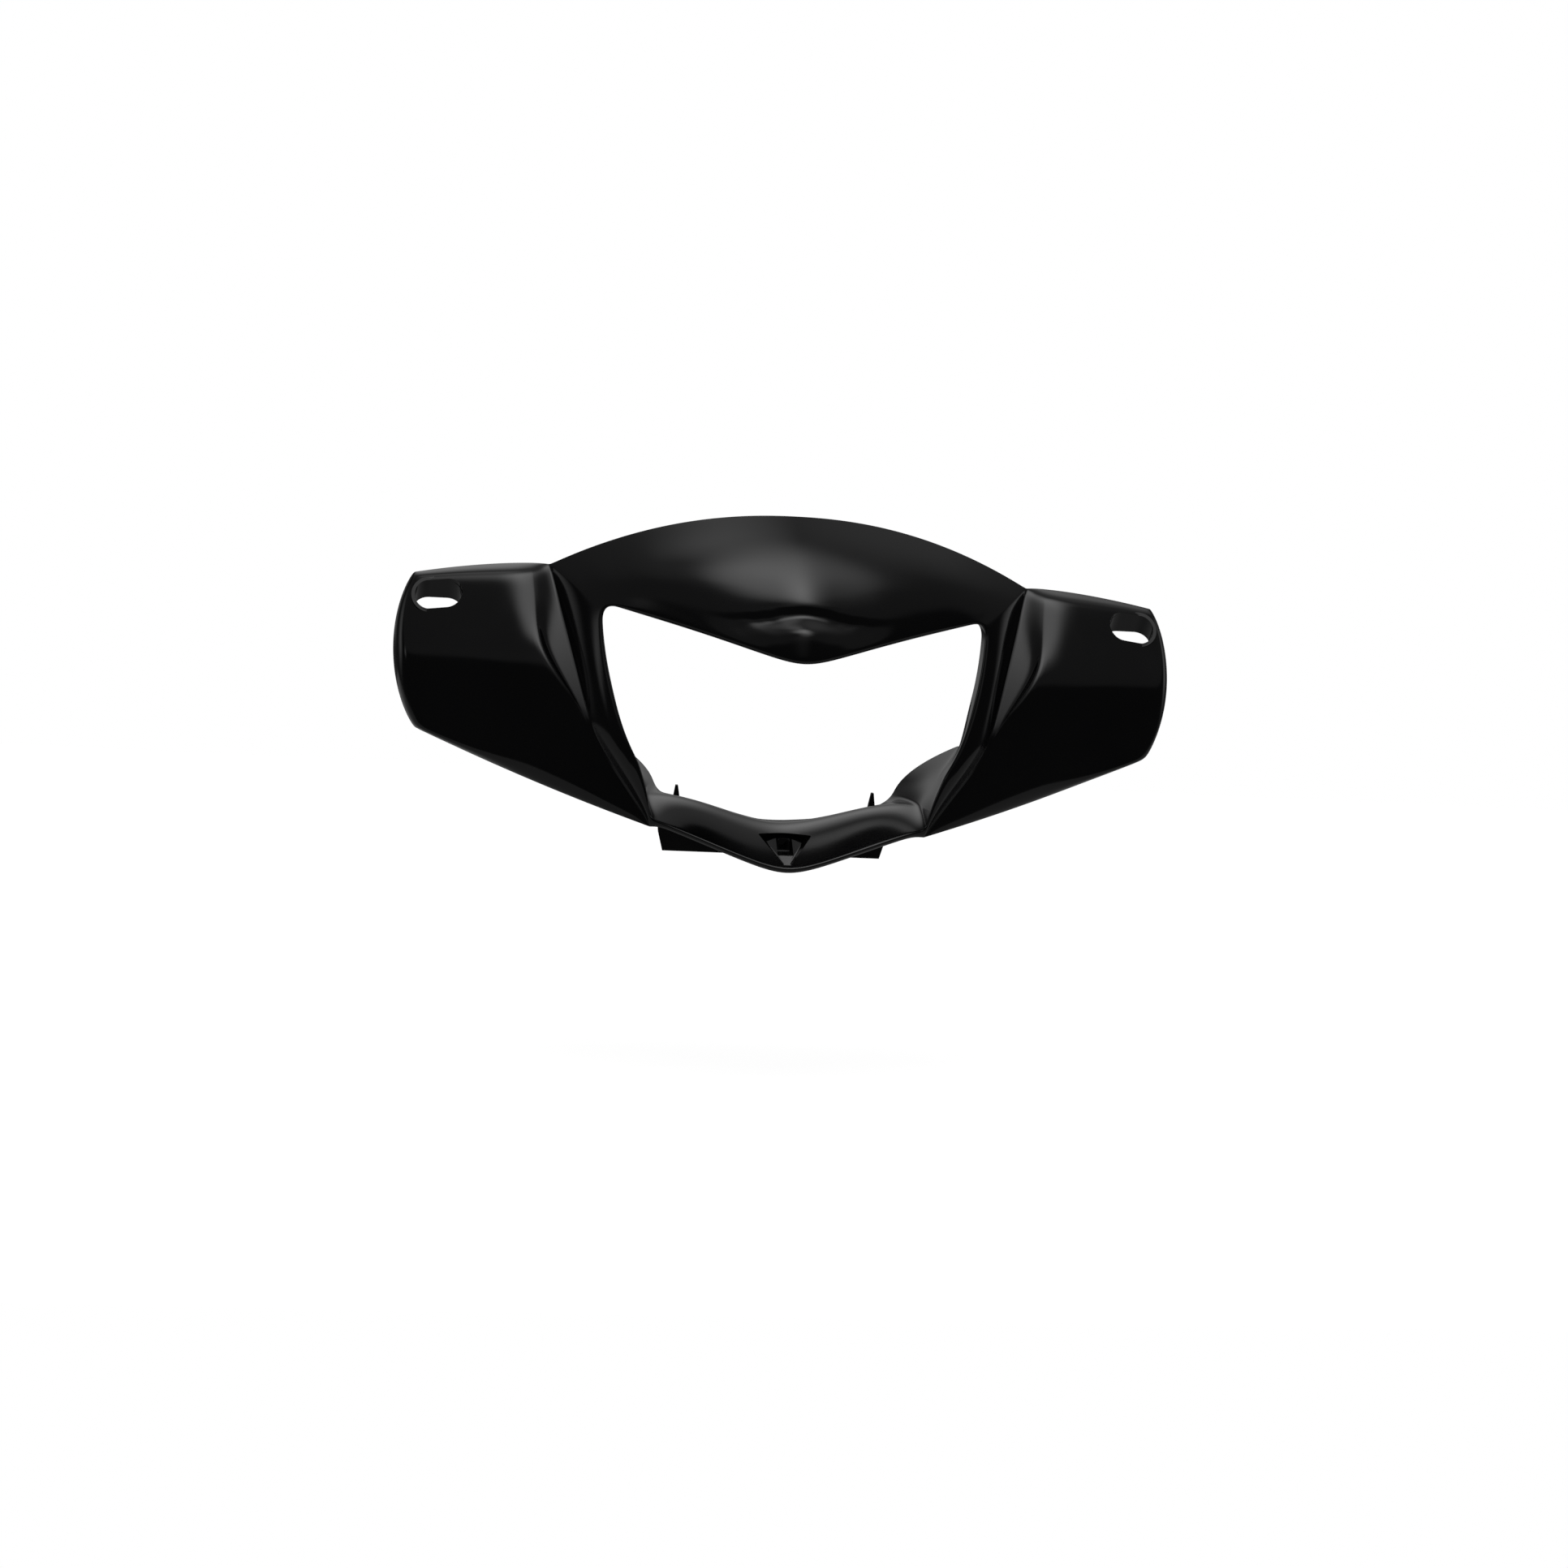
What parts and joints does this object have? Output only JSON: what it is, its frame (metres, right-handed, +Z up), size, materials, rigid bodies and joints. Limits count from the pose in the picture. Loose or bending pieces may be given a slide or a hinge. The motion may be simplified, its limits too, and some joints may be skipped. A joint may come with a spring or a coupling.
{
  "type": "motor scooter headlight cowl",
  "caption": "One-piece moulded handlebar cowl with a lamp opening, a beaked brow, two hollow side wings with mirror holes, and a chin with a screw pocket.",
  "frame": {"origin": "centre of the chin screw hole, on the back wall of its pocket", "axes": "+X along the cowl's width, +Y to the back along the screw hole, +Z up"},
  "size_m": [0.4552, 0.0995, 0.2035],
  "materials": {
    "cowl_plastic": "gloss black moulding"
  },
  "bodies": {
    "root": {"cowl": "cowl_plastic"}
  },
  "joints": []
}
